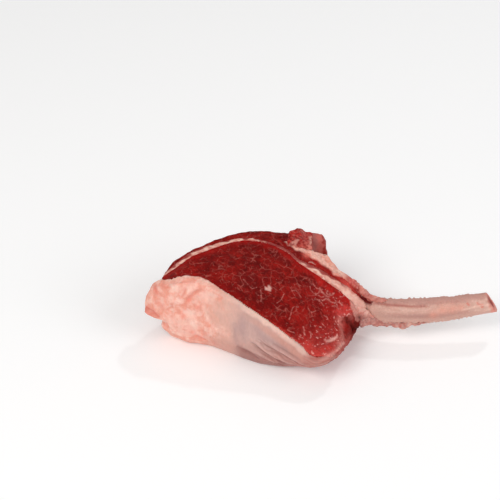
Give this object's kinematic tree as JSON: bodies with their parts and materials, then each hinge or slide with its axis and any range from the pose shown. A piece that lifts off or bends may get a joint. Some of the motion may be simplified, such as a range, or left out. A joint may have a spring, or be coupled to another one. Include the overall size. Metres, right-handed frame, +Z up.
{
  "type": "raw lamb chop",
  "caption": "Raw frenched lamb rib chop lying on a cut face: eye of lean with a fat cap, a seam of fat, thin outer muscles, the bare rib and a sawn stub of backbone.",
  "frame": {"origin": "middle of the bounding box on the surface that the chop lies on", "axes": "+Z up through the thickness of the chop; +X along the chop from the fat end to the tip of the bare rib; the fat cap faces -Y and the backbone stub +Y"},
  "size_m": [0.1414, 0.0616, 0.0334],
  "materials": {
    "eye_lean": "moist dark red lean with fine broken marbling",
    "outer_lean": "moist red lean in thin layers with pale tissue between",
    "cap_fat": "waxy salmon fat passing into grey-lilac connective skin",
    "soft_fat": "waxy pink fat",
    "bone": "scraped rib bone with thin mauve-brown tissue",
    "sawn_bone": "red spongy sawn bone with a pale rim"
  },
  "bodies": {
    "root": {"eye_muscle": "eye_lean", "outer_muscle": "outer_lean", "fat_cap": "cap_fat", "seam_fat": "soft_fat", "rib_fat": "soft_fat", "rib_bone": "bone", "chine_bone": "sawn_bone"}
  },
  "joints": []
}
